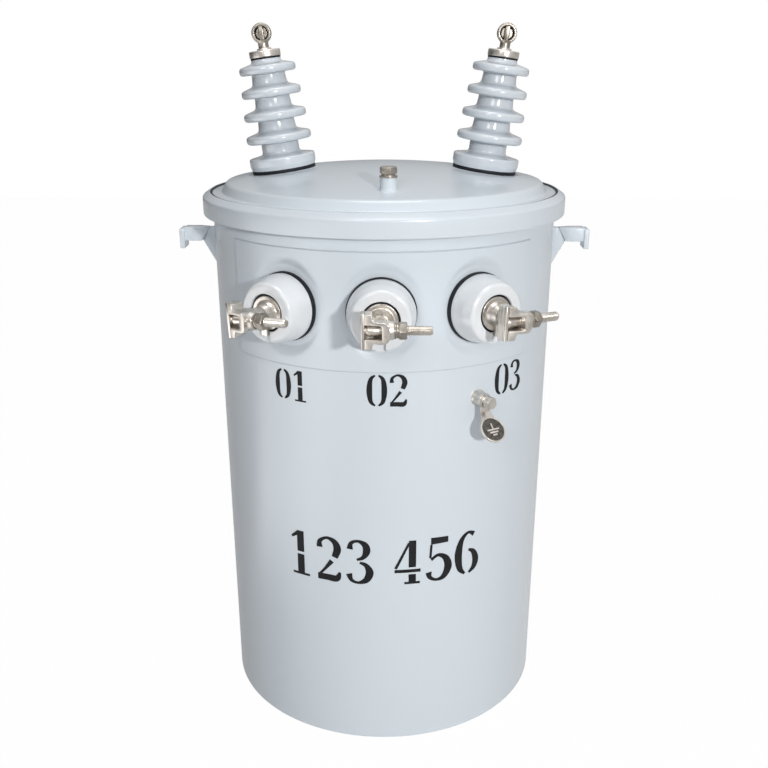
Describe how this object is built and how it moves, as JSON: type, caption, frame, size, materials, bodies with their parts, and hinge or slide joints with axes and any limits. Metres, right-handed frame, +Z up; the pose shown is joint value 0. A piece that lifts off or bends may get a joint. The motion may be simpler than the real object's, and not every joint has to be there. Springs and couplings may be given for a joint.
{
  "type": "pole mounted transformer",
  "caption": "Round oil-filled distribution transformer tank with a banded cover, shed insulators on top, clamp terminals on the front panel, lifting lugs and pole hangers behind.",
  "frame": {"origin": "middle of the tank's foot, on the floor it stands on", "axes": "+Z up along the tank axis, front with the low voltage terminals towards -Y, pole side towards +Y"},
  "size_m": [0.732, 0.782, 1.2191],
  "materials": {
    "tank_paint": "smooth glossy light grey paint",
    "hv_glaze": "glossy light grey glazed porcelain",
    "lv_glaze": "glossy whitish grey glazed porcelain",
    "tin_plate": "satin tin plated cast metal",
    "bolt_steel": "plain galvanised steel",
    "gasket_rubber": "matt black rubber"
  },
  "bodies": {
    "root": {"tank_wall": "tank_paint", "tank_bottom": "tank_paint", "bushing_panel": "tank_paint", "core_and_coils": "bolt_steel", "cover": "tank_paint", "cover_gasket": "gasket_rubber", "cover_band": "tank_paint", "band_bolt": "bolt_steel", "cover_post": "tank_paint", "cover_bolt": "bolt_steel", "hv_bushing_left": "hv_glaze", "hv_bushing_right": "hv_glaze", "hv_gasket_left": "gasket_rubber", "hv_gasket_right": "gasket_rubber", "hv_cap_left": "tin_plate", "hv_cap_right": "tin_plate", "hv_eyebolt_left": "tin_plate", "hv_eyebolt_right": "tin_plate", "hv_keeper_left": "tin_plate", "hv_keeper_right": "tin_plate", "lv_bushing_left": "lv_glaze", "lv_bushing_middle": "lv_glaze", "lv_bushing_right": "lv_glaze", "lv_gasket_left": "gasket_rubber", "lv_gasket_middle": "gasket_rubber", "lv_gasket_right": "gasket_rubber", "lv_stud_left": "tin_plate", "lv_stud_middle": "tin_plate", "lv_stud_right": "tin_plate", "lv_clamp_left": "tin_plate", "lv_clamp_middle": "tin_plate", "lv_clamp_right": "tin_plate", "lv_bolt_left": "tin_plate", "lv_bolt_middle": "tin_plate", "lv_bolt_right": "tin_plate", "lv_nut_left": "tin_plate", "lv_nut_middle": "tin_plate", "lv_nut_right": "tin_plate", "lifting_lug_left": "tank_paint", "lifting_lug_right": "tank_paint", "ground_boss": "bolt_steel", "ground_bolt": "bolt_steel", "ground_tag": "tin_plate", "hanger_lower": "tank_paint", "hanger_upper": "tank_paint"}
  },
  "joints": []
}
